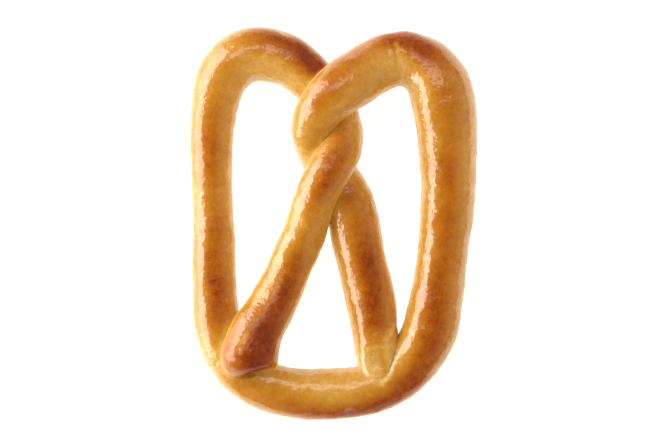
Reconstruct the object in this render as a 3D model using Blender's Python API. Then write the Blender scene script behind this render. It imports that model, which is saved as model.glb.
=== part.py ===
"""Soft pretzel, baked in one piece from a single rope of dough.

Run it with  blender --background --python part.py  or from Blender's text editor.

The rope crosses itself twice, which makes the twist, and its two ends are pressed down onto its own
belly. It lies on the plane z = 0, where its underside is baked flat. +Y points from the belly to the
two loops and +X to the right of a person who looks down on it. The origin is the middle of its
outline, at the height of the tray.
"""

import math
from typing import NamedTuple

import bmesh
import bpy
from mathutils import Matrix, Vector

MM = 0.001

# Driving dimensions, in metres.
HEIGHT_TO_WIDTH = 0.87  # the rope's section is a little flatter than a circle
TRAY_FLAT = 1.3 * MM  # how deep the round underside is flattened where the rope lies on the tray
TIP_LENGTH = 9.0 * MM  # the rounded end of each arm

SECTION_SIDES = 16
SPAN_STEPS = 3  # sections of the rope from one route point to the next
TIP_STEPS = 4
TRAY_THICKNESS = 10.0 * MM
TRAY_MARGIN = 20.0 * MM
WELD_DISTANCE = 0.01 * MM
SMOOTH_BELOW = math.radians(50)

CRUST_COLOUR = (0.52, 0.22, 0.05, 1.0)
CRUST_ROUGHNESS = 0.3


class Stop(NamedTuple):
    """A point that the rope passes: its place, how far it is lifted off the tray, and its width."""

    x: float
    y: float
    lift: float
    width: float


# The rope's route in millimetres, from the tip on the left of the belly to the tip on its right.
LEFT_ARM = (
    Stop(-38.0, -57.0, 7.5, 23.5),
    Stop(-33.0, -48.0, 6.5, 23.5),
    Stop(-27.0, -37.5, 5.0, 21.0),
    Stop(-21.5, -27.0, 4.0, 19.5),
    Stop(-17.5, -17.0, 4.0, 19.0),
    Stop(-13.0, -7.5, 5.0, 18.5),
    Stop(-10.0, 2.0, 7.5, 18.5),
    Stop(-7.5, 10.0, 10.0, 18.0),
    Stop(-3.5, 18.5, 11.5, 19.0),
    Stop(1.5, 27.0, 10.0, 19.0),
    Stop(4.5, 35.5, 5.5, 18.5),
    Stop(3.0, 45.0, 1.5, 18.5),
    Stop(-1.5, 54.5, 0.0, 20.0),
)
LEFT_LOOP = (
    Stop(-9.0, 62.5, 0.0, 20.5),
    Stop(-17.5, 70.0, 0.0, 22.0),
    Stop(-29.0, 73.5, 0.0, 23.0),
    Stop(-39.5, 72.0, 0.0, 23.5),
    Stop(-47.0, 64.5, 0.0, 23.0),
    Stop(-50.5, 54.0, 0.0, 21.0),
    Stop(-52.0, 42.5, 0.0, 19.0),
    Stop(-52.5, 28.0, 0.0, 18.0),
    Stop(-52.0, 13.5, 0.0, 17.5),
    Stop(-51.5, -1.0, 0.0, 18.0),
    Stop(-51.5, -16.0, 0.0, 18.5),
    Stop(-51.0, -29.0, 0.0, 19.0),
)
BELLY = (
    Stop(-50.5, -40.0, 0.0, 20.0),
    Stop(-48.5, -50.0, 0.0, 20.0),
    Stop(-44.0, -59.5, 0.0, 20.0),
    Stop(-36.0, -67.5, 0.0, 20.5),
    Stop(-23.0, -73.0, 0.0, 21.5),
    Stop(-6.0, -74.5, 0.0, 22.0),
    Stop(10.5, -73.5, 0.0, 22.0),
    Stop(24.5, -69.0, 0.0, 22.0),
    Stop(34.5, -60.5, 0.0, 23.0),
    Stop(41.0, -50.5, 0.0, 24.0),
    Stop(44.5, -39.0, 0.0, 24.0),
)
RIGHT_LOOP = (
    Stop(46.5, -27.0, 0.0, 22.5),
    Stop(48.0, -14.0, 0.0, 22.0),
    Stop(49.5, -1.0, 0.0, 22.5),
    Stop(50.5, 12.0, 0.0, 23.5),
    Stop(50.5, 25.0, 0.0, 24.5),
    Stop(50.0, 38.0, 0.0, 26.0),
    Stop(49.0, 50.0, 0.0, 28.0),
    Stop(45.5, 62.0, 0.0, 27.0),
    Stop(38.0, 69.5, 0.0, 25.0),
    Stop(28.5, 71.5, 0.5, 24.0),
)
RIGHT_ARM = (
    Stop(19.0, 68.0, 2.5, 23.5),
    Stop(10.0, 62.0, 7.0, 24.0),
    Stop(1.0, 55.5, 11.0, 22.5),
    Stop(-6.0, 48.0, 10.5, 20.0),
    Stop(-8.5, 39.5, 6.5, 18.5),
    Stop(-6.0, 31.0, 2.0, 18.0),
    Stop(-0.5, 22.5, 0.0, 19.5),
    Stop(4.5, 15.0, 0.0, 21.5),
    Stop(8.5, 5.5, 0.0, 22.0),
    Stop(10.5, -5.5, 0.0, 22.0),
    Stop(12.5, -15.0, 0.0, 21.5),
    Stop(15.0, -25.0, 0.0, 21.5),
    Stop(17.0, -35.0, 0.5, 21.5),
    Stop(18.5, -45.0, 1.5, 20.5),
    Stop(19.5, -54.5, 3.5, 19.0),
    Stop(20.5, -63.0, 4.5, 17.5),
)
ROUTE = LEFT_ARM + LEFT_LOOP + BELLY + RIGHT_LOOP + RIGHT_ARM


def clear_scene():
    """Empties the scene without closing the file."""
    for scene_object in list(bpy.data.objects):
        bpy.data.objects.remove(scene_object, do_unlink=True)


def new_collection(name):
    """A collection of the scene for the parts or for the tools that shape them."""
    collection = bpy.data.collections.new(name)
    bpy.context.scene.collection.children.link(collection)
    return collection


def baked_crust():
    """The browned, glossy crust of dough that was dipped in lye and buttered."""
    material = bpy.data.materials.new("baked_crust")
    material.use_nodes = True
    shader = material.node_tree.nodes["Principled BSDF"]
    shader.inputs["Base Color"].default_value = CRUST_COLOUR
    shader.inputs["Roughness"].default_value = CRUST_ROUGHNESS
    shader.inputs["Metallic"].default_value = 0.0
    return material


def centre_of(stop):
    """The middle of the rope's section at a stop, in metres, with its underside pressed flat."""
    resting = stop.width * MM * HEIGHT_TO_WIDTH / 2 - TRAY_FLAT
    return Vector((stop.x * MM, stop.y * MM, stop.lift * MM + resting))


def tip_points(stop, inner_stop):
    """The centres and widths of the sections that round an end of the rope off, outermost last."""
    outward = (centre_of(stop) - centre_of(inner_stop)).normalized()
    points = []
    for step in range(1, TIP_STEPS + 1):
        angle = step / (TIP_STEPS + 0.6) * math.pi / 2
        centre = centre_of(stop) + outward * TIP_LENGTH * math.sin(angle)
        points.append((centre, stop.width * MM * math.cos(angle)))
    return points


def rope_section(tools):
    """The rope's section as a closed curve one unit wide, which the route's curve carries along."""
    outline = bpy.data.curves.new("rope_section", "CURVE")
    outline.dimensions = "2D"
    spline = outline.splines.new("POLY")
    spline.points.add(SECTION_SIDES - 1)
    spline.use_cyclic_u = True
    for index, point in enumerate(spline.points):
        turn = -index / SECTION_SIDES * math.tau
        point.co = (math.cos(turn) / 2, math.sin(turn) * HEIGHT_TO_WIDTH / 2, 0, 1)
    section = bpy.data.objects.new("rope_section", outline)
    section.hide_render = True
    section.display_type = "WIRE"
    tools.objects.link(section)
    return section


def dough_rope(tools):
    """The rope as a curve along the whole route, with its width at every point."""
    path = bpy.data.curves.new("dough_rope", "CURVE")
    path.dimensions = "3D"
    path.twist_mode = "Z_UP"
    path.bevel_mode = "OBJECT"
    path.bevel_object = rope_section(tools)
    path.use_fill_caps = True
    path.resolution_u = SPAN_STEPS

    points = [*reversed(tip_points(ROUTE[0], ROUTE[1]))]
    points += [(centre_of(stop), stop.width * MM) for stop in ROUTE]
    points += tip_points(ROUTE[-1], ROUTE[-2])

    spline = path.splines.new("BEZIER")
    spline.radius_interpolation = "CARDINAL"
    spline.bezier_points.add(len(points) - 1)
    for bezier_point, (centre, width) in zip(spline.bezier_points, points):
        bezier_point.co = centre
        bezier_point.radius = width
        bezier_point.handle_left_type = "AUTO"
        bezier_point.handle_right_type = "AUTO"
    rope = bpy.data.objects.new("dough_rope", path)
    tools.objects.link(rope)
    return rope


def as_mesh(curve_object, name, collection):
    """The curve's evaluated shape as a mesh object with its caps welded on; the curve is removed."""
    evaluated = curve_object.evaluated_get(bpy.context.evaluated_depsgraph_get())
    mesh = bpy.data.meshes.new_from_object(evaluated)
    mesh.name = name
    shell = bmesh.new()
    shell.from_mesh(mesh)
    bmesh.ops.remove_doubles(shell, verts=shell.verts, dist=WELD_DISTANCE)
    shell.to_mesh(mesh)
    shell.free()
    mesh_object = bpy.data.objects.new(name, mesh)
    mesh_object.matrix_world = curve_object.matrix_world
    collection.objects.link(mesh_object)
    bpy.data.objects.remove(curve_object, do_unlink=True)
    return mesh_object


def centre_outline(mesh):
    """Moves the mesh so that the middle of its outline is above the origin."""
    xs = [vertex.co.x for vertex in mesh.vertices]
    ys = [vertex.co.y for vertex in mesh.vertices]
    middle = Vector(((min(xs) + max(xs)) / 2, (min(ys) + max(ys)) / 2, 0))
    mesh.transform(Matrix.Translation(-middle))


def tray(mesh_object, tools):
    """A block whose top is the tray's surface, wider than the pretzel all round."""
    size_x, size_y, _ = mesh_object.dimensions
    bpy.ops.mesh.primitive_cube_add(size=1, location=(0, 0, -TRAY_THICKNESS / 2))
    block = bpy.context.object
    block.name = "tray"
    block.data.transform(
        Matrix.Diagonal((size_x + 2 * TRAY_MARGIN, size_y + 2 * TRAY_MARGIN, TRAY_THICKNESS, 1))
    )
    for collection in list(block.users_collection):
        collection.objects.unlink(block)
    tools.objects.link(block)
    block.hide_render = True
    block.display_type = "WIRE"
    return block


def pretzel(parts, tools):
    """The rope, grown together wherever it touches itself and flat where it lies on the tray."""
    rope = dough_rope(tools)
    bpy.context.view_layer.update()
    body = as_mesh(rope, "pretzel", parts)
    centre_outline(body.data)
    body.data.materials.append(baked_crust())
    bpy.context.view_layer.update()

    baked_flat = body.modifiers.new("baked_flat", "BOOLEAN")
    baked_flat.operation = "DIFFERENCE"
    baked_flat.solver = "EXACT"
    baked_flat.use_self = True
    baked_flat.object = tray(body, tools)

    body.data.shade_smooth()
    body.data.set_sharp_from_angle(angle=SMOOTH_BELOW)
    return body


def main():
    """Models the pretzel in a collection of its own, beside one for the tools."""
    clear_scene()
    parts = new_collection("soft_pretzel")
    tools = new_collection("shaping_tools")
    pretzel(parts, tools)


main()
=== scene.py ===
"""Soft pretzel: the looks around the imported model.

One rope of dough is drawn out along its route, rounded, wrinkled and dented, grown together where
it touches itself, flattened where it lay on the tray, and browned as the oven browns it. All sizes
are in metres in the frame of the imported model, unless a name or a docstring says millimetres.
"""

import logging
import math
from collections.abc import Iterable, Sequence
from dataclasses import dataclass, replace
from enum import Enum
from typing import Any, NamedTuple

import bpy
import numpy as np
from mathutils import Matrix, Vector


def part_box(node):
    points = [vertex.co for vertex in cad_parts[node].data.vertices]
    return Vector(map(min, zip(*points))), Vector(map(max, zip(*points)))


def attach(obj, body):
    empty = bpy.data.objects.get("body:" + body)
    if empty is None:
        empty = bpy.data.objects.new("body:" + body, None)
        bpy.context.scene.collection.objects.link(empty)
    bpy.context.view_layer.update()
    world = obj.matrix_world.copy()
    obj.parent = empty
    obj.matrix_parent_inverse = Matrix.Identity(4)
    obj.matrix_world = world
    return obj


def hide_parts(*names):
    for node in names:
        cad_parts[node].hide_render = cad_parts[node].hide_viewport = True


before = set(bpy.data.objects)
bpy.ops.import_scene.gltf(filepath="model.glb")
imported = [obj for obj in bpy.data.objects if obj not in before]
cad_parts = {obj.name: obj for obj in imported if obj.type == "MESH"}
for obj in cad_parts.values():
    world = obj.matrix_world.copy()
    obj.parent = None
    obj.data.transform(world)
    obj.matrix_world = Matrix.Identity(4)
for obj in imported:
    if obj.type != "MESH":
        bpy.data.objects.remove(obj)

log = logging.getLogger("soft_pretzel")

MM = 0.001
NODE = "pretzel"

HEIGHT_TO_WIDTH = 0.87  # the rope's section is a little flatter than a circle
TRAY_FLAT = 1.3 * MM  # how deep the round underside is flattened where the rope lies on the tray
WELD_DISTANCE = 0.005 * MM
SMOOTH_BELOW = math.radians(60)
NOISE_LOW, NOISE_HIGH = 0.25, 0.75  # nearly all of a noise lies between these


class Stop(NamedTuple):
    """A point that the rope passes, in millimetres, and how it is browned there.

    brown is the tone of the browned band and pale that of the flanks, from 0, cream, to 1, dark. lean
    says where the band lies across the rope, from -1, its left edge as the route runs, to 1, its right.
    """

    x: float
    y: float
    lift: float
    width: float
    brown: float
    pale: float
    lean: float


# The rope's route, from the tip on the left of the belly to the tip on its right.
LEFT_ARM = (
    Stop(-35.7, -57.1, 7.0, 25.5, 1.00, 0.66, 0.28),
    Stop(-33.0, -48.0, 6.5, 23.5, 0.96, 0.52, 0.28),
    Stop(-27.0, -37.5, 5.0, 21.0, 0.86, 0.36, 0.25),
    Stop(-21.5, -27.0, 4.0, 19.5, 0.85, 0.30, 0.25),
    Stop(-17.5, -17.0, 4.0, 19.0, 0.76, 0.30, 0.20),
    Stop(-13.0, -7.5, 5.0, 18.5, 0.55, 0.26, 0.15),
    Stop(-10.0, 2.0, 7.5, 18.5, 0.47, 0.22, 0.20),
    Stop(-7.5, 10.0, 10.0, 18.0, 0.60, 0.26, 0.10),
    Stop(-3.5, 18.5, 11.5, 19.0, 0.77, 0.33, 0.15),
    Stop(1.5, 27.0, 10.0, 19.0, 0.78, 0.30, 0.05),
    Stop(4.5, 35.5, 5.5, 18.5, 0.48, 0.18, 0.00),
    Stop(3.0, 45.0, 1.5, 18.5, 0.42, 0.22, -0.20),
    Stop(-1.5, 54.5, 0.0, 20.0, 0.60, 0.26, 0.20),
)
LEFT_LOOP = (
    Stop(-9.0, 62.5, 0.0, 20.5, 0.97, 0.25, 0.50),
    Stop(-17.5, 70.0, 0.0, 22.0, 0.93, 0.22, 0.48),
    Stop(-29.0, 73.5, 0.0, 23.0, 0.78, 0.20, 0.62),
    Stop(-39.5, 72.0, 0.0, 23.5, 0.46, 0.25, 0.50),
    Stop(-47.0, 64.5, 0.0, 23.0, 0.44, 0.31, 0.10),
    Stop(-50.5, 54.0, 0.0, 21.0, 0.52, 0.31, 0.05),
    Stop(-52.0, 42.5, 0.0, 19.0, 0.62, 0.31, 0.05),
    Stop(-52.5, 28.0, 0.0, 18.0, 0.70, 0.33, 0.00),
    Stop(-52.0, 13.5, 0.0, 17.5, 0.56, 0.30, 0.00),
    Stop(-51.5, -1.0, 0.0, 18.0, 0.63, 0.34, -0.10),
    Stop(-51.5, -16.0, 0.0, 18.5, 0.76, 0.37, -0.10),
    Stop(-51.0, -29.0, 0.0, 19.0, 0.85, 0.37, -0.15),
)
BELLY = (
    Stop(-50.5, -40.0, 0.0, 20.0, 0.74, 0.36, -0.10),
    Stop(-48.5, -50.0, 0.0, 20.0, 0.40, 0.18, 0.00),
    Stop(-44.0, -59.5, 0.0, 20.0, 0.30, 0.15, 0.00),
    Stop(-36.0, -67.5, 0.0, 20.5, 0.56, 0.26, 0.20),
    Stop(-23.0, -73.0, 0.0, 21.5, 0.56, 0.31, 0.40),
    Stop(-6.0, -74.5, 0.0, 22.0, 0.80, 0.24, 0.85),
    Stop(10.5, -73.5, 0.0, 22.0, 0.87, 0.26, 0.85),
    Stop(24.5, -69.0, 0.0, 22.0, 0.85, 0.28, 0.65),
    Stop(34.5, -60.5, 0.0, 23.0, 0.82, 0.31, 0.40),
    Stop(41.0, -50.5, 0.0, 24.0, 0.82, 0.33, 0.18),
    Stop(44.5, -39.0, 0.0, 24.0, 0.81, 0.33, 0.02),
)
RIGHT_LOOP = (
    Stop(46.5, -27.0, 0.0, 22.5, 0.80, 0.31, -0.05),
    Stop(48.0, -14.0, 0.0, 22.0, 0.72, 0.30, 0.08),
    Stop(49.5, -1.0, 0.0, 22.5, 0.71, 0.30, 0.02),
    Stop(50.5, 12.0, 0.0, 23.5, 0.66, 0.21, 0.00),
    Stop(50.5, 25.0, 0.0, 24.5, 0.68, 0.21, -0.10),
    Stop(50.0, 38.0, 0.0, 26.0, 0.58, 0.22, 0.00),
    Stop(49.0, 50.0, 0.0, 28.0, 0.60, 0.24, 0.10),
    Stop(45.5, 62.0, 0.0, 27.0, 0.66, 0.22, 0.30),
    Stop(38.0, 69.5, 0.0, 25.0, 0.91, 0.19, 0.42),
    Stop(28.5, 71.5, 0.5, 24.0, 0.87, 0.16, 0.72),
)
RIGHT_ARM = (
    Stop(19.0, 68.0, 2.5, 23.5, 0.62, 0.24, 0.85),
    Stop(10.0, 62.0, 7.0, 24.0, 0.62, 0.31, 0.70),
    Stop(1.0, 55.5, 11.0, 22.5, 0.66, 0.35, 0.40),
    Stop(-6.0, 48.0, 10.5, 20.0, 0.48, 0.28, 0.00),
    Stop(-8.5, 39.5, 6.5, 18.5, 0.42, 0.24, -0.10),
    Stop(-6.0, 31.0, 2.0, 18.0, 0.30, 0.18, 0.00),
    Stop(-0.5, 22.5, 0.0, 19.5, 0.45, 0.22, 0.00),
    Stop(4.5, 15.0, 0.0, 21.5, 0.66, 0.33, -0.10),
    Stop(8.5, 5.5, 0.0, 22.0, 0.65, 0.36, -0.25),
    Stop(10.5, -5.5, 0.0, 22.0, 0.73, 0.37, -0.20),
    Stop(12.5, -15.0, 0.0, 21.5, 0.85, 0.37, -0.20),
    Stop(15.0, -25.0, 0.0, 21.5, 0.88, 0.37, -0.20),
    Stop(17.0, -35.0, 0.5, 21.5, 0.86, 0.37, -0.10),
    Stop(18.5, -45.0, 1.5, 20.5, 0.76, 0.33, -0.05),
    Stop(19.5, -54.5, 3.5, 19.0, 0.30, 0.16, 0.00),
    Stop(20.5, -63.0, 4.5, 17.5, 0.30, 0.16, -0.80),
)


def linear(hex_colour: str) -> tuple[float, float, float, float]:
    """Turns an sRGB hex colour into Blender's linear one.

    Args:
        hex_colour: six hex digits, such as "C8781E".

    Returns:
        Red, green, blue and an alpha of 1.
    """
    channels = [int(hex_colour[i : i + 2], 16) / 255 for i in (0, 2, 4)]
    red, green, blue = (c / 12.92 if c <= 0.04045 else ((c + 0.055) / 1.055) ** 2.4 for c in channels)
    return red, green, blue, 1.0


def add_node(
    tree: bpy.types.NodeTree, kind: str, inputs: dict[Any, Any], **settings: Any
) -> bpy.types.Node:
    """Adds a node with its settings and links.

    Args:
        tree: the node tree of a material or of the world.
        kind: the node's type, without its ShaderNode prefix.
        inputs: input name or number to its value, or to the output that feeds it.
        settings: the node's own properties.

    Returns:
        The new node.
    """
    node = tree.nodes.new("ShaderNode" + kind)
    for name, value in settings.items():
        setattr(node, name, value)
    for name, value in inputs.items():
        if isinstance(value, bpy.types.NodeSocket):
            tree.links.new(value, node.inputs[name])
        else:
            node.inputs[name].default_value = value
    return node


def deselect_all() -> None:
    """Leaves nothing selected, so that the next operator acts on its own piece only."""
    bpy.ops.object.select_all(action="DESELECT")


def apply_modifier(piece: bpy.types.Object, kind: str, **settings: Any) -> None:
    """Adds a modifier to a piece, sets it and applies it.

    Args:
        piece: the mesh object.
        kind: the modifier's type.
        settings: the modifier's own properties.
    """
    bpy.context.view_layer.objects.active = piece
    modifier = piece.modifiers.new(kind.lower(), kind)
    for name, value in settings.items():
        setattr(modifier, name, value)
    bpy.ops.object.modifier_apply(modifier=modifier.name)


@dataclass(frozen=True)
class Station:
    """One section of the rope: its middle, the way it faces and its size.

    heading is the turn about +Z from +Y, and pitch is the climb, both in radians.
    """

    middle: Vector
    heading: float
    pitch: float
    half_width: float
    brown: float
    pale: float
    lean: float

    @property
    def ahead(self) -> Vector:
        """The way that the rope runs here."""
        level, climb = math.cos(self.pitch), math.sin(self.pitch)
        return Vector((-math.sin(self.heading) * level, math.cos(self.heading) * level, climb))

    @property
    def right(self) -> Vector:
        """The level way to the rope's right."""
        return Vector((math.cos(self.heading), math.sin(self.heading), 0))

    @property
    def up(self) -> Vector:
        """The way from the section's middle to its crest."""
        return self.right.cross(self.ahead)


@dataclass(frozen=True)
class Tip:
    """A rounded end of the rope.

    skew bends it about +Z, in degrees, so that it ends askew. drop is how far it sinks, as
    it is pressed down onto the belly. A higher taper makes it more pointed. cap is what the flat disc
    at its very end stands in for, as a share of a step.
    """

    length: float
    skew: float
    drop: float
    taper: float
    steps: int = 4
    cap: float = 0.6


@dataclass
class Route:
    """The smooth way of the rope through its stops."""

    stops: Sequence[Stop]
    first_tip: Tip
    last_tip: Tip

    def stations(self, per_span: int) -> list[Station]:
        """Places sections along the route, with the same number between all neighbouring stops.

        Args:
            per_span: how many sections follow each stop.

        Returns:
            The sections in order, without those of the rounded tips.
        """
        rows = np.array([self._row(stop) for stop in self.stops])
        padded = np.vstack([2 * rows[0] - rows[1], rows, 2 * rows[-1] - rows[-2]])
        smooth = []
        for before, start, end, after in zip(padded, padded[1:], padded[2:], padded[3:]):
            for share in np.arange(per_span) / per_span:
                smooth.append(self._between(before, start, end, after, share))
        smooth = np.array([*smooth, rows[-1]])
        steps = np.gradient(smooth[:, :3], axis=0)
        return [self._station(row, Vector(step)) for row, step in zip(smooth, steps)]

    @staticmethod
    def _row(stop: Stop) -> list[float]:
        """Turns a stop into a row of numbers.

        Args:
            stop: the stop.

        Returns:
            Its middle and half width in metres, its brown, pale and lean.
        """
        resting = stop.width * HEIGHT_TO_WIDTH / 2 * MM - TRAY_FLAT
        middle = [stop.x * MM, stop.y * MM, stop.lift * MM + resting]
        return [*middle, stop.width / 2 * MM, stop.brown, stop.pale, stop.lean]

    @staticmethod
    def _between(a: np.ndarray, b: np.ndarray, c: np.ndarray, d: np.ndarray, t: float) -> np.ndarray:
        """The Catmull-Rom curve at the share t of the way from b to c."""
        square, cube = 2 * a - 5 * b + 4 * c - d, 3 * b - a - 3 * c + d
        return 0.5 * (2 * b + t * (c - a) + t**2 * square + t**3 * cube)

    @staticmethod
    def _station(row: np.ndarray, step: Vector) -> Station:
        """Turns a row of numbers back into a section.

        Args:
            row: the section's middle and half width, its brown, pale and lean.
            step: the way that the rope runs there.

        Returns:
            The section, which faces along the step.
        """
        heading = math.atan2(-step.x, step.y)
        pitch = math.atan2(step.z, math.hypot(step.x, step.y))
        return Station(Vector(row[:3]), heading, pitch, *(float(value) for value in row[3:]))

    def tip_sections(self, end: Station, tip: Tip, way: int) -> list[Station]:
        """The shrinking sections that round an end of the rope off.

        Args:
            end: the rope's last full section.
            tip: the end's shape.
            way: 1 at the route's end, or -1 at its start.

        Returns:
            The sections from the full one outwards.
        """
        sections = []
        middle, reached, sunk = end.middle.copy(), 0.0, 0.0
        for step in range(1, tip.steps + 1):
            share = step / (tip.steps + tip.cap)
            angle = share * math.pi / 2
            size = end.half_width * math.cos(angle) ** tip.taper
            heading = end.heading + math.radians(tip.skew) * share
            turned = replace(end, heading=heading, half_width=size)
            middle = middle + turned.ahead * (way * tip.length * (math.sin(angle) - reached))
            middle.z -= tip.drop * (share**2 - sunk)
            reached, sunk = math.sin(angle), share**2
            sections.append(replace(turned, middle=middle))
        return sections

    def all_sections(self, per_span: int) -> list[Station]:
        """Places sections along the whole rope, its tips included.

        Args:
            per_span: how many sections follow each stop.

        Returns:
            The sections from the rope's start to its end.
        """
        body = self.stations(per_span)
        first = self.tip_sections(body[0], self.first_tip, -1)
        last = self.tip_sections(body[-1], self.last_tip, 1)
        return [*reversed(first), *body, *last]


@dataclass(frozen=True)
class Mark:
    """A place or a line where the dough was pinched, pressed or folded.

    path is seen from above, push is how far the skin moves along its middle, and reach is the radius
    that this fades out over, all in millimetres. pale is how much less brown it bakes, up to 1, and
    below 0 it bakes browner.
    """

    path: tuple[tuple[float, float], ...]
    push: tuple[float, float, float]
    reach: float
    pale: float = 0.0

    def places(self, spacing: float = 0.7) -> np.ndarray:
        """Points along the path.

        Args:
            spacing: the distance between them, in millimetres.

        Returns:
            The points' x and y in metres, as rows.
        """
        points = [np.array(self.path[0])]
        for start, end in zip(self.path, self.path[1:]):
            start, end = np.array(start), np.array(end)
            count = max(1, math.ceil(float(np.linalg.norm(end - start)) / spacing))
            points += [start + (end - start) * step / count for step in range(1, count + 1)]
        return np.array(points) * MM


MARKS = (
    # The right end, which a thumb pressed down: its hollow, a crease above it, its pale lip and its
    # browned middle.
    Mark(((20.2, -60.2),), (0, 0, -1.6), 8.0, 0.2),
    Mark(((14.5, -54.3), (20.0, -53.2), (26.0, -52.6)), (0, 0, -0.35), 1.8, 0.3),
    Mark(
        ((28.9, -42.4), (23.9, -51.1), (25.2, -59.8), (25.4, -64.6), (22.0, -69.0)),
        (0.2, 0, 0.5),
        2.2,
        0.7,
    ),
    Mark(((22.2, -57.5), (22.6, -63.0)), (0, 0, 0.1), 4.0, -0.7),
    # A fold across the head of the right loop, and wrinkles inside it.
    Mark(((27.8, 77.0), (29.0, 70.0), (30.8, 63.0), (34.0, 56.5)), (0, 0, -0.45), 1.9, 0.35),
    Mark(((41.6, 22.6), (45.0, 22.0)), (0, 0, -0.3), 1.5),
    Mark(((41.6, 10.4), (45.6, 9.8)), (0, 0, -0.3), 1.5),
    Mark(((38.4, -4.6), (44.6, -5.6)), (0, 0, -0.35), 1.5),
    # A nick and a bulge outside the left loop, and a nick inside the left arm.
    Mark(((-60.9, 14.6),), (1.0, 0, -0.2), 4.0, 0.1),
    Mark(((-60.2, -2.0),), (-0.5, 0, 0.2), 5.0),
    Mark(((-16.6, -33.9), (-17.6, -34.6)), (-0.5, 0.2, -0.3), 2.5),
    # Wrinkles at the left end, and the pinch where it meets the belly.
    Mark(((-34.0, -52.5), (-29.0, -47.0)), (0, 0, -0.3), 1.3),
    Mark(((-31.5, -54.5), (-26.0, -50.5)), (0, 0, -0.3), 1.3),
    Mark(((-30.0, -56.0), (-25.0, -54.0)), (0, 0, -0.3), 1.3),
    Mark(((-27.5, -46.5), (-27.0, -51.0)), (0, 0, -0.2), 1.3),
    Mark(((-36.5, -47.5), (-41.0, -54.0)), (0, 0, -0.5), 3.0, 0.4),
    # Dips in the rim, below the belly and above the left loop.
    Mark(((8.0, -83.0),), (0, 1.0, 0.2), 4.0),
    Mark(((-21.0, 84.0), (-19.5, 83.0)), (0, -0.6, -0.2), 3.0),
)


class Relief(Enum):
    """The unevenness of the skin: its size and height in millimetres."""

    LUMPS = (11.0, 0.9)
    RIPPLES = (4.0, 0.28)
    PEBBLES = (1.6, 0.10)

    @property
    def size(self) -> float:
        """The distance between two swellings, in metres."""
        return self.value[0] * MM

    @property
    def height(self) -> float:
        """The height between hollow and swelling, in metres."""
        return self.value[1] * MM


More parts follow.
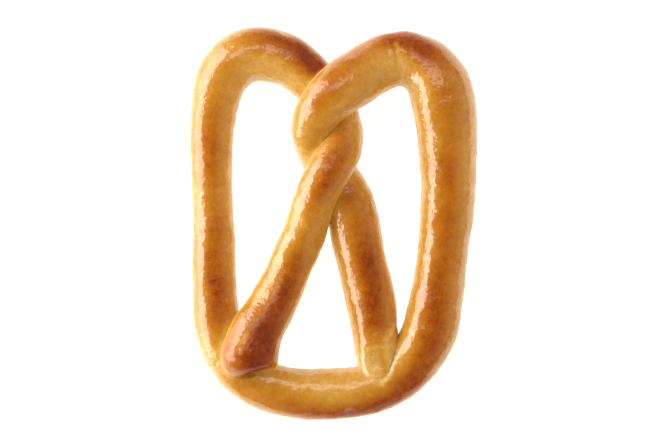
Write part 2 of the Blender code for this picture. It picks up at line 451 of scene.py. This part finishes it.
@dataclass
class DoughRope:
    """The pretzel's one piece: the rope, grown together and flat underneath."""

    route: Route
    marks: Sequence[Mark]
    sides: int = 10
    sections_per_stop: int = 2
    smoothing: int = 3
    touch: float = 1.2 * MM  # how near a mark's path the skin's highest point is looked for
    tray_size: float = 0.4
    tray_thickness: float = 0.02
    name: str = "pretzel_crust"

    @property
    def limit_size(self) -> float:
        """How much smaller the smoothed section is than the cage's polygon."""
        return (2 + math.cos(math.tau / self.sides)) / 3

    def build(self) -> bpy.types.Object:
        """Draws the rope out, shapes its skin and joins it to itself.

        Returns:
            The finished piece.
        """
        piece = self._draw_out(self.route.all_sections(self.sections_per_stop))
        apply_modifier(piece, "SUBSURF", levels=self.smoothing, render_levels=self.smoothing)
        for relief in Relief:
            self._roughen(piece, relief)
        for mark in self.marks:
            self._press(piece, mark)
        self._centre(piece)
        self._grow_together(piece)
        self._finish(piece)
        return piece

    def _draw_out(self, sections: Sequence[Station]) -> bpy.types.Object:
        """Starts with a disc and extrudes it from section to section.

        Args:
            sections: the rope's sections in order.

        Returns:
            The rope's coarse cage.
        """
        start = sections[0]
        deselect_all()
        bpy.ops.mesh.primitive_circle_add(
            vertices=self.sides,
            fill_type="NGON",
            location=start.middle,
            rotation=(start.pitch - math.pi / 2, 0, start.heading),
        )
        piece = bpy.context.object
        piece.name = self.name
        half_width = start.half_width / self.limit_size
        piece.scale = (half_width, half_width * HEIGHT_TO_WIDTH, 1)
        bpy.ops.object.transform_apply(location=True, rotation=True, scale=True)
        bpy.ops.object.mode_set(mode="EDIT")
        bpy.ops.mesh.select_all(action="SELECT")
        for before, after in zip(sections, sections[1:]):
            step = after.middle - before.middle
            bpy.ops.mesh.extrude_region_move(TRANSFORM_OT_translate={"value": step})
            self._face(before, after)
            growth = after.half_width / before.half_width
            bpy.ops.transform.resize(value=(growth,) * 3, center_override=after.middle)
        bpy.ops.mesh.select_all(action="SELECT")
        bpy.ops.mesh.normals_make_consistent(inside=False)
        bpy.ops.object.mode_set(mode="OBJECT")
        return piece

    @staticmethod
    def _face(before: Station, after: Station) -> None:
        """Turns the selected section from one station's facing to the next one's.

        Args:
            before: the station that it was extruded from.
            after: the station that it stands at.
        """
        turns = (("Z", -before.heading), ("X", after.pitch - before.pitch), ("Z", after.heading))
        for axis, angle in turns:
            # With no window, this operator turns the other way.
            bpy.ops.transform.rotate(value=-angle, orient_axis=axis, center_override=after.middle)

    @staticmethod
    def _roughen(piece: bpy.types.Object, relief: Relief) -> None:
        """Raises and sinks the skin by a cloud pattern.

        Args:
            piece: the rope.
            relief: the pattern's size and height.
        """
        pattern = bpy.data.textures.new(relief.name.lower(), "CLOUDS")
        pattern.noise_scale = relief.size
        pattern.noise_depth = 1
        apply_modifier(
            piece,
            "DISPLACE",
            texture=pattern,
            strength=relief.height,
            mid_level=0.5,
            texture_coords="LOCAL",
        )

    def _press(self, piece: bpy.types.Object, mark: Mark) -> None:
        """Moves the skin along a mark's path, fading out to the mark's reach.

        Args:
            piece: the rope.
            mark: the path and the push.
        """
        corners = np.empty(len(piece.data.vertices) * 3, np.float32)
        piece.data.vertices.foreach_get("co", corners)
        corners = corners.reshape(-1, 3)
        chosen = np.zeros(len(corners), bool)
        for x, y in mark.places():
            nearby = np.where(np.hypot(corners[:, 0] - x, corners[:, 1] - y) < self.touch)[0]
            if len(nearby):
                chosen[nearby[np.argmax(corners[nearby, 2])]] = True
        if not chosen.any():
            log.warning("no dough under the mark at %s", mark.path)
            return
        bpy.ops.object.mode_set(mode="EDIT")
        bpy.ops.mesh.select_all(action="DESELECT")
        bpy.ops.object.mode_set(mode="OBJECT")
        piece.data.vertices.foreach_set("select", chosen)
        bpy.ops.object.mode_set(mode="EDIT")
        bpy.ops.transform.translate(
            value=[along * MM for along in mark.push],
            use_proportional_edit=True,
            proportional_edit_falloff="SMOOTH",
            proportional_size=mark.reach * MM,
        )
        bpy.ops.object.mode_set(mode="OBJECT")

    @staticmethod
    def _centre(piece: bpy.types.Object) -> None:
        """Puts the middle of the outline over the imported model's.

        Args:
            piece: the rope.
        """
        low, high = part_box(NODE)
        target = (low + high) / 2
        corners = np.array([vertex.co for vertex in piece.data.vertices])
        middle = (corners.min(0) + corners.max(0)) / 2
        piece.data.transform(Matrix.Translation((target.x - middle[0], target.y - middle[1], 0)))

    def _grow_together(self, piece: bpy.types.Object) -> None:
        """Joins the strands where they touch and cuts off what the tray flattens.

        Args:
            piece: the rope, which still passes through itself.
        """
        deselect_all()
        bpy.ops.mesh.primitive_cube_add(size=1, location=(0, 0, -self.tray_thickness / 2))
        tray = bpy.context.object
        tray.scale = (self.tray_size, self.tray_size, self.tray_thickness)
        bpy.ops.object.transform_apply(location=True, rotation=True, scale=True)
        apply_modifier(
            piece, "BOOLEAN", operation="DIFFERENCE", object=tray, solver="EXACT", use_self=True
        )
        bpy.data.objects.remove(tray, do_unlink=True)

    @staticmethod
    def _finish(piece: bpy.types.Object) -> None:
        """Merges stray doubles and shades the skin smooth.

        Args:
            piece: the joined rope.
        """
        deselect_all()
        piece.select_set(True)
        bpy.context.view_layer.objects.active = piece
        bpy.ops.object.mode_set(mode="EDIT")
        bpy.ops.mesh.select_all(action="SELECT")
        bpy.ops.mesh.remove_doubles(threshold=WELD_DISTANCE)
        bpy.ops.mesh.normals_make_consistent(inside=False)
        bpy.ops.object.mode_set(mode="OBJECT")
        bpy.ops.object.shade_smooth_by_angle(angle=SMOOTH_BELOW)


@dataclass
class Oven:
    """Works out how brown each point of the crust bakes, how much butter stays on it and how much
    painted shade darkens it in the creases.

    A height on the rope is a share of its half height there, and a place across it a share of its
    half width. A tone runs from 0, cream, to 1, dark.
    """

    route: Route
    marks: Sequence[Mark]
    samples_per_stop: int = 6
    chunk: int = 4000  # how many points are worked out at a time
    end_thickness: float = 1.5 * MM  # how far the rope's last section reaches past its own middle
    own_strand: float = 45 * MM  # rope that is further along than this counts as another strand
    shelter_reach: float = 1.8 * MM  # dough nearer than this to another strand is sheltered
    level_shelter: float = 0.5  # how much a strand of the same height shelters
    least_shelter: float = 0.15  # how much a strand far below shelters
    overhang: float = 6 * MM  # how much higher a strand lies for each further 1 of shelter
    shelter_pale: float = 0.6  # how much of the tone full shelter takes away
    shelter_dry: float = 0.5  # how much of the butter full shelter keeps off
    painted_crease_shade_reach: float = 0.6 * MM  # how far the painted shade in a crease spreads from where strands meet
    painted_crease_shade_strength: float = 0.4  # how strong that painted shade is at the bottom of the crease
    band_spread: float = 0.58  # half of the browned band
    band_edge: float = 2.5  # a higher number gives the band harder edges
    browned_from: float = -0.15  # the height from which the crust browns
    browned_rise: float = 0.75  # how much higher it browns fully
    mark_core: float = 0.5  # the part of a mark's reach that bakes differently
    tray_contact: float = 0.6 * MM  # up to this height above it the tray browns the dough fully
    tray_reach: float = 1.8 * MM  # above this height it doesn't
    tray_tone: float = 0.72
    buttered_rise: float = 0.5  # the height above which the butter lies on fully
    dry_patches: float = 0.65  # how much of the butter the darkest crust soaks up
    dry_from: float = 0.5  # the tone from which the crust soaks butter up
    dry_span: float = 0.35  # how much darker it soaks up the most

    def bake(self, piece: bpy.types.Object) -> None:
        """Writes the browning, the glaze and the painted crease shade of every point to the mesh.

        Args:
            piece: the pretzel, in its place.
        """
        corners = np.empty(len(piece.data.vertices) * 3, np.float32)
        piece.data.vertices.foreach_get("co", corners)
        corners = corners.reshape(-1, 3).astype(float)
        stations = self.route.all_sections(self.samples_per_stop)
        offset = self._offset(stations)
        parts = [
            self._measure(corners[start : start + self.chunk] - offset, stations)
            for start in range(0, len(corners), self.chunk)
        ]
        for name, values in zip(("browning", "glaze", "painted_crease_shade"), np.concatenate(parts, axis=1)):
            attribute = piece.data.attributes.new(name, "FLOAT", "POINT")
            attribute.data.foreach_set("value", values.astype(np.float32))

    @staticmethod
    def _offset(stations: Sequence[Station]) -> np.ndarray:
        """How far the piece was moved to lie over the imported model.

        Args:
            stations: closely spaced sections of the rope, where the route has them.

        Returns:
            The move, in metres.
        """
        low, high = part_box(NODE)
        edges = np.array([s.middle + s.right * s.half_width * way for s in stations for way in (-1, 1)])
        middle = (edges.min(0) + edges.max(0)) / 2
        return np.array([(low.x + high.x) / 2 - middle[0], (low.y + high.y) / 2 - middle[1], 0])

    def _measure(self, points: np.ndarray, stations: Sequence[Station]) -> np.ndarray:
        """Works out the three values at some points.

        Args:
            points: the points, as rows.
            stations: closely spaced sections of the rope.

        Returns:
            The browning, the glaze and the painted crease shade, each from 0 to 1, as three rows.
        """
        middles = np.array([s.middle for s in stations])
        halves = np.array([s.half_width for s in stations])
        along = np.concatenate([[0], np.cumsum(np.linalg.norm(np.diff(middles, axis=0), axis=1))])
        apart = points[:, None, :] - middles[None]
        rights, ups, aheads = (
            np.array([getattr(s, way) for s in stations]) for way in ("right", "up", "ahead")
        )
        across = np.einsum("nmk,mk->nm", apart, rights) / halves
        rise = np.einsum("nmk,mk->nm", apart, ups) / (halves * HEIGHT_TO_WIDTH)
        to_end = np.minimum(along, along[-1] - along)
        thickness = np.clip(to_end, self.end_thickness, np.maximum(halves, self.end_thickness))
        lag = np.einsum("nmk,mk->nm", apart, aheads) / thickness
        reach = np.sqrt(across**2 + rise**2 + lag**2)
        rows = np.arange(len(points))
        own = reach.argmin(1)
        stranger = np.abs(along[None] - along[own][:, None]) > self.own_strand
        other = np.where(stranger, reach, np.inf).argmin(1)
        gap = (reach[rows, other] - 1) * halves[other]
        shelter = self._shelter(gap, middles[other, 2] - middles[own, 2])
        height = rise[rows, own]
        dough = np.array([(s.brown, s.pale, s.lean) for s in stations])[own]
        tone = self._band_tone(dough, across[rows, own], height) * (1 - self.shelter_pale * shelter)
        tone = self._tray_tone(points, self._marked_tone(points, tone))
        # Painted shade: the crust is darkened where strands meet, most at the bottom of each crease.
        painted_crease_shade = self.painted_crease_shade_strength * np.clip(1 - gap / self.painted_crease_shade_reach, 0, 1) ** 2
        return np.stack([tone, self._butter(tone, height, shelter), painted_crease_shade])

    def _shelter(self, gap: np.ndarray, above: np.ndarray) -> np.ndarray:
        """How much another strand shelters each point, from 0 to 1.

        Args:
            gap: how far off the nearest other strand is, in metres.
            above: how much higher its middle lies, in metres.

        Returns:
            The shelter of each point.
        """
        near = np.clip(1 - gap / self.shelter_reach, 0, 1)
        return near * np.clip(self.level_shelter + above / self.overhang, self.least_shelter, 1)

    def _band_tone(self, dough: np.ndarray, side: np.ndarray, height: np.ndarray) -> np.ndarray:
        """The tone that the oven's heat alone gives, in a band along the crest.

        Args:
            dough: the route's brown, pale and lean at each point, as rows.
            side: each point's place across the rope.
            height: each point's height on the rope.

        Returns:
            The tone of each point.
        """
        brown, pale, lean = dough.T
        band = np.exp(-np.abs((side - lean) / self.band_spread) ** self.band_edge)
        heated = self._ease((height - self.browned_from) / self.browned_rise)
        return (pale + (brown - pale) * band) * heated

    def _marked_tone(self, points: np.ndarray, tone: np.ndarray) -> np.ndarray:
        """The tone after the marks, which bake paler or browner than the crust around them.

        Args:
            points: the points, as rows.
            tone: the tone of each.

        Returns:
            The new tone of each point.
        """
        for mark in self.marks:
            if mark.pale:
                away = points[:, None, :2] - mark.places()[None]
                nearest = np.sqrt((away**2).sum(2)).min(1)
                core = self.mark_core * mark.reach * MM
                tone = tone * (1 - mark.pale * np.exp(-((nearest / core) ** 2)))
        return tone

    def _tray_tone(self, points: np.ndarray, tone: np.ndarray) -> np.ndarray:
        """The tone where the hot tray browns the underside too.

        Args:
            points: the points, as rows.
            tone: the tone of each.

        Returns:
            The new tone of each point.
        """
        share = (self.tray_reach - points[:, 2]) / (self.tray_reach - self.tray_contact)
        return np.maximum(tone, self.tray_tone * self._ease(share))

    def _butter(self, tone: np.ndarray, height: np.ndarray, shelter: np.ndarray) -> np.ndarray:
        """How much butter lies on each point, from 0 to 1.

        Args:
            tone: the tone of each point, because dark crust is dry and soaks butter up.
            height: each point's height on the rope.
            shelter: how much another strand shelters it.

        Returns:
            The glaze of each point.
        """
        glaze = self._ease(height / self.buttered_rise) * (1 - self.shelter_dry * shelter)
        return glaze * (1 - self.dry_patches * self._ease((tone - self.dry_from) / self.dry_span))

    @staticmethod
    def _ease(share: np.ndarray) -> np.ndarray:
        """Goes smoothly from 0 to 1."""
        share = np.clip(share, 0, 1)
        return share * share * (3 - 2 * share)


@dataclass(frozen=True)
class Mottle:
    """An uneven pattern.

    size is the distance between its patches, in millimetres. amount is how far it swings the tone
    either way or, as a relief, its height in millimetres.
    """

    size: float
    amount: float
    detail: float = 2.0
    roughness: float = 0.5


@dataclass(frozen=True)
class GlazedCrust:
    """Wheat dough dipped in lye, baked and brushed with butter.

    The lye browns the crest and leaves sheltered dough the colour of cream. The butter lies on it as
    a thin clear coat, so the lights show as crisp streaks with ragged edges over a soft sheen. The
    darkest crust has soaked most of it up and is nearly matt. Light that enters the crumb comes out
    again a little way off, which warms the pale flanks.
    """

    shades: tuple[tuple[float, str], ...] = (
        (0.00, "E9CF9C"),
        (0.15, "E0BA72"),
        (0.30, "D4A345"),
        (0.45, "C98E2A"),
        (0.60, "BE7814"),
        (0.75, "AE620A"),
        (0.88, "9A4208"),
        (1.00, "802A05"),
    )
    # the painted shade that darkens the creases where strands meet
    painted_crease_shade_colour: str = "6A3D10"
    tones: tuple[Mottle, ...] = (Mottle(9.0, 0.07), Mottle(2.6, 0.07), Mottle(1.0, 0.06))
    reliefs: tuple[Mottle, ...] = (Mottle(5.0, 0.25), Mottle(1.6, 0.18))
    dry_roughness: float = 0.55
    buttered_roughness: float = 0.24
    crust_specular: float = 0.12  # dry crust is full of pores and hardly shines
    translucence: float = 0.3
    translucence_depth: float = 3 * MM
    translucence_spread: tuple[float, float, float] = (1.0, 0.45, 0.15)  # red goes deepest into crumb
    butter_ior: float = 1.9  # butter's own is 1.46, and this gives its streaks their full strength
    butter_roughness: float = 0.09

    def material(self) -> bpy.types.Material:
        """Makes the material.

        Returns:
            The crust's material.
        """
        material = bpy.data.materials.new("glazed_crust")
        material.use_nodes = True
        tree = material.node_tree
        tree.nodes.clear()
        place = add_node(tree, "TexCoord", {}).outputs["Object"]
        brown, glaze, painted_crease_shade = (
            add_node(tree, "Attribute", {}, attribute_name=name).outputs["Fac"]
            for name in ("browning", "glaze", "painted_crease_shade")
        )
        baked = brown
        for mottle in self.tones:
            uneven = self._swing(tree, self._noise(tree, place, mottle), mottle.amount)
            baked = add_node(tree, "Math", {0: baked, 1: uneven}, operation="ADD").outputs[0]
        colour = self._ramp(tree, baked)
        # Paints shade into the creases where the strands meet.
        colour = add_node(
            tree,
            "Mix",
            {0: painted_crease_shade, 6: colour, 7: linear(self.painted_crease_shade_colour)},
            data_type="RGBA",
        )
        roughness = add_node(
            tree, "MapRange", {0: glaze, 3: self.dry_roughness, 4: self.buttered_roughness}
        )
        relief = None
        for mottle in self.reliefs:
            height = self._noise(tree, place, mottle)
            inputs = {"Strength": 1.0, "Distance": mottle.amount * MM, "Height": height}
            if relief:
                inputs["Normal"] = relief
            relief = add_node(tree, "Bump", inputs).outputs[0]
        shader = add_node(
            tree,
            "BsdfPrincipled",
            {
                "Base Color": colour.outputs[2],
                "Roughness": roughness.outputs[0],
                "Specular IOR Level": self.crust_specular,
                "Subsurface Weight": self.translucence,
                "Subsurface Radius": self.translucence_spread,
                "Subsurface Scale": self.translucence_depth,
                "Coat Weight": glaze,
                "Coat Roughness": self.butter_roughness,
                "Coat IOR": self.butter_ior,
                "Normal": relief,
                "Coat Normal": relief,
            },
        )
        add_node(tree, "OutputMaterial", {"Surface": shader.outputs[0]})
        return material

    def _ramp(self, tree: bpy.types.NodeTree, baked: bpy.types.NodeSocket) -> bpy.types.NodeSocket:
        """Turns browning into colour.

        Args:
            tree: the material's node tree.
            baked: the output that gives the tone.

        Returns:
            The output that gives the colour.
        """
        ramp = add_node(tree, "ValToRGB", {"Fac": baked})
        stops = ramp.color_ramp.elements
        stops[1].position = 1.0
        for position, _ in self.shades[1:-1]:
            stops.new(position)
        for stop, (_, shade) in zip(stops, self.shades):
            stop.color = linear(shade)
        return ramp.outputs["Color"]

    @staticmethod
    def _swing(
        tree: bpy.types.NodeTree, noise: bpy.types.NodeSocket, amount: float
    ) -> bpy.types.NodeSocket:
        """Spreads a noise to a range about zero.

        Args:
            tree: the material's node tree.
            noise: the output that gives the noise.
            amount: the range's end, which is -amount at the other.

        Returns:
            The output that gives the spread noise.
        """
        inputs = {0: noise, 1: NOISE_LOW, 2: NOISE_HIGH, 3: -amount, 4: amount}
        return add_node(tree, "MapRange", inputs).outputs[0]

    @staticmethod
    def _noise(
        tree: bpy.types.NodeTree, place: bpy.types.NodeSocket, mottle: Mottle
    ) -> bpy.types.NodeSocket:
        """A noise whose patches are as far apart as the mottle says.

        Args:
            tree: the material's node tree.
            place: the output that gives each point's place, in metres.
            mottle: the pattern.

        Returns:
            The output that gives the noise.
        """
        inputs = {
            "Vector": place,
            "Scale": 1 / (mottle.size * MM),
            "Detail": mottle.detail,
            "Roughness": mottle.roughness,
        }
        return add_node(tree, "TexNoise", inputs).outputs["Fac"]


@dataclass(frozen=True)
class Softbox:
    """A rectangular light that faces the pretzel.

    bearing is its direction about +Z from +X, elevation its height above the table, across and tall
    the angles that it fills as seen from the pretzel, all in degrees. brightness is its radiance, where
    a lit white wall would be 1, distance how far off it hangs, in metres, and tint its colour.
    """

    name: str
    bearing: float
    elevation: float
    across: float
    tall: float
    brightness: float
    distance: float = 0.8
    tint: str = "FFFFFF"

    def hang(self) -> None:
        """Adds the light to the scene."""
        bearing, elevation = math.radians(self.bearing), math.radians(self.elevation)
        level = math.cos(elevation)
        way = Vector((level * math.cos(bearing), level * math.sin(bearing), math.sin(elevation)))
        light = bpy.data.lights.new(self.name, "AREA")
        light.shape = "RECTANGLE"
        light.size = 2 * self.distance * math.tan(math.radians(self.across / 2))
        light.size_y = 2 * self.distance * math.tan(math.radians(self.tall / 2))
        light.energy = self.brightness * math.pi * light.size * light.size_y
        light.color = linear(self.tint)[:3]
        lamp = bpy.data.objects.new(self.name, light)
        lamp.location = way * self.distance
        lamp.rotation_euler = (-way).to_track_quat("-Z", "Y").to_euler()
        lamp.visible_camera = False
        bpy.context.scene.collection.objects.link(lamp)


@dataclass
class Studio:
    """The lit white table, the soft boxes and the camera straight above."""

    softboxes: Sequence[Softbox] = (
        Softbox("key_left", 190, 19, 40, 44, 3.25),
        Softbox("key_back_left", 150, 23, 40, 42, 3.15),
        Softbox("top_back_strip", 98, 64, 36, 18, 1.4),
        Softbox("low_right", -4, 15, 60, 28, 0.2),
        Softbox("left_wall", 180, 33, 90, 56, 0.2, 1.3, "FFDDAE"),
        Softbox("back_wall", 90, 33, 90, 56, 0.25, 1.3, "FFDDAE"),
        Softbox("right_wall", 0, 42, 100, 50, 0.35, 1.3, "FFDDAE"),
        Softbox("front_wall", 270, 33, 90, 56, 0.15, 1.3, "FFDDAE"),
    )
    table_side: float = 6.0
    acrylic: str = "BCBCBC"
    acrylic_roughness: float = 0.6
    table_glow: float = 0.88
    card: str = "FFD67A"
    card_light: float = 0.42
    backdrop: str = "FAFAFA"
    picture_width: float = 0.287
    camera_height: float = 0.95
    camera_range: tuple[float, float] = (0.05, 20.0)
    waist: float = 8 * MM  # the height at which the pretzel's outline is widest
    aside: tuple[float, float] = (1.5 * MM, -1.5 * MM)  # how far off the picture's middle it lies

    def build(self) -> None:
        """Sets the table, the lights and the camera up."""
        self._table()
        self._surroundings()
        for softbox in self.softboxes:
            softbox.hang()
        self._camera()
        log.info("studio: a table, %d soft boxes and an overhead camera", len(self.softboxes))

    def _table(self) -> None:
        """A wide table top of white acrylic, lit from below, at the pretzel's resting height.

        The acrylic glows evenly white, so the pretzel has almost no shadow, and its rims and flanks
        mirror the glow.
        """
        deselect_all()
        low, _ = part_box(NODE)
        bpy.ops.mesh.primitive_plane_add(size=self.table_side, location=(0, 0, low.z))
        table = bpy.context.object
        table.name = "pale_table"
        material = bpy.data.materials.new("lit_white_acrylic")
        material.use_nodes = True
        shader = material.node_tree.nodes["Principled BSDF"]
        shader.inputs["Base Color"].default_value = linear(self.acrylic)
        shader.inputs["Roughness"].default_value = self.acrylic_roughness
        shader.inputs["Emission Color"].default_value = linear("FFFFFF")
        shader.inputs["Emission Strength"].default_value = self.table_glow
        table.data.materials.append(material)

    def _surroundings(self) -> None:
        """A dim studio of warm card, which the camera sees as a pale backdrop that casts no light."""
        world = bpy.data.worlds.new("dim_studio")
        world.use_nodes = True
        tree = world.node_tree
        card = tree.nodes["Background"]
        card.inputs["Color"].default_value = linear(self.card)
        card.inputs["Strength"].default_value = self.card_light
        backdrop = add_node(tree, "Background", {"Color": linear(self.backdrop), "Strength": 1.0})
        rays = add_node(tree, "LightPath", {})
        seen = add_node(
            tree,
            "MixShader",
            {0: rays.outputs["Is Camera Ray"], 1: card.outputs[0], 2: backdrop.outputs[0]},
        )
        tree.links.new(seen.outputs[0], tree.nodes["World Output"].inputs["Surface"])
        bpy.context.scene.world = world
        bpy.context.scene.view_settings.view_transform = "Standard"

    def _camera(self) -> None:
        """Looks straight down at the pretzel."""
        data = bpy.data.cameras.new("overhead_camera")
        data.lens = data.sensor_width * (self.camera_height - self.waist) / self.picture_width
        data.clip_start, data.clip_end = self.camera_range
        camera = bpy.data.objects.new("overhead_camera", data)
        camera.location = (-self.aside[0], -self.aside[1], self.camera_height)
        bpy.context.scene.collection.objects.link(camera)
        bpy.context.scene.camera = camera


def main() -> None:
    """Builds the pretzel and the studio."""
    logging.basicConfig(level=logging.INFO, format="%(name)s: %(message)s")
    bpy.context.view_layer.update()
    stops = LEFT_ARM + LEFT_LOOP + BELLY + RIGHT_LOOP + RIGHT_ARM
    cut_askew = Tip(length=9 * MM, skew=36, drop=4 * MM, taper=0.55)
    pressed_flat = Tip(length=9 * MM, skew=0, drop=3.5 * MM, taper=0.8)
    route = Route(stops, first_tip=cut_askew, last_tip=pressed_flat)
    piece = DoughRope(route, MARKS).build()
    log.info("%s: %d faces", piece.name, len(piece.data.polygons))
    Oven(route, MARKS).bake(piece)
    piece.data.materials.clear()
    piece.data.materials.append(GlazedCrust().material())
    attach(piece, "root")
    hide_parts(NODE)
    Studio().build()


if __name__ == "__main__":
    main()
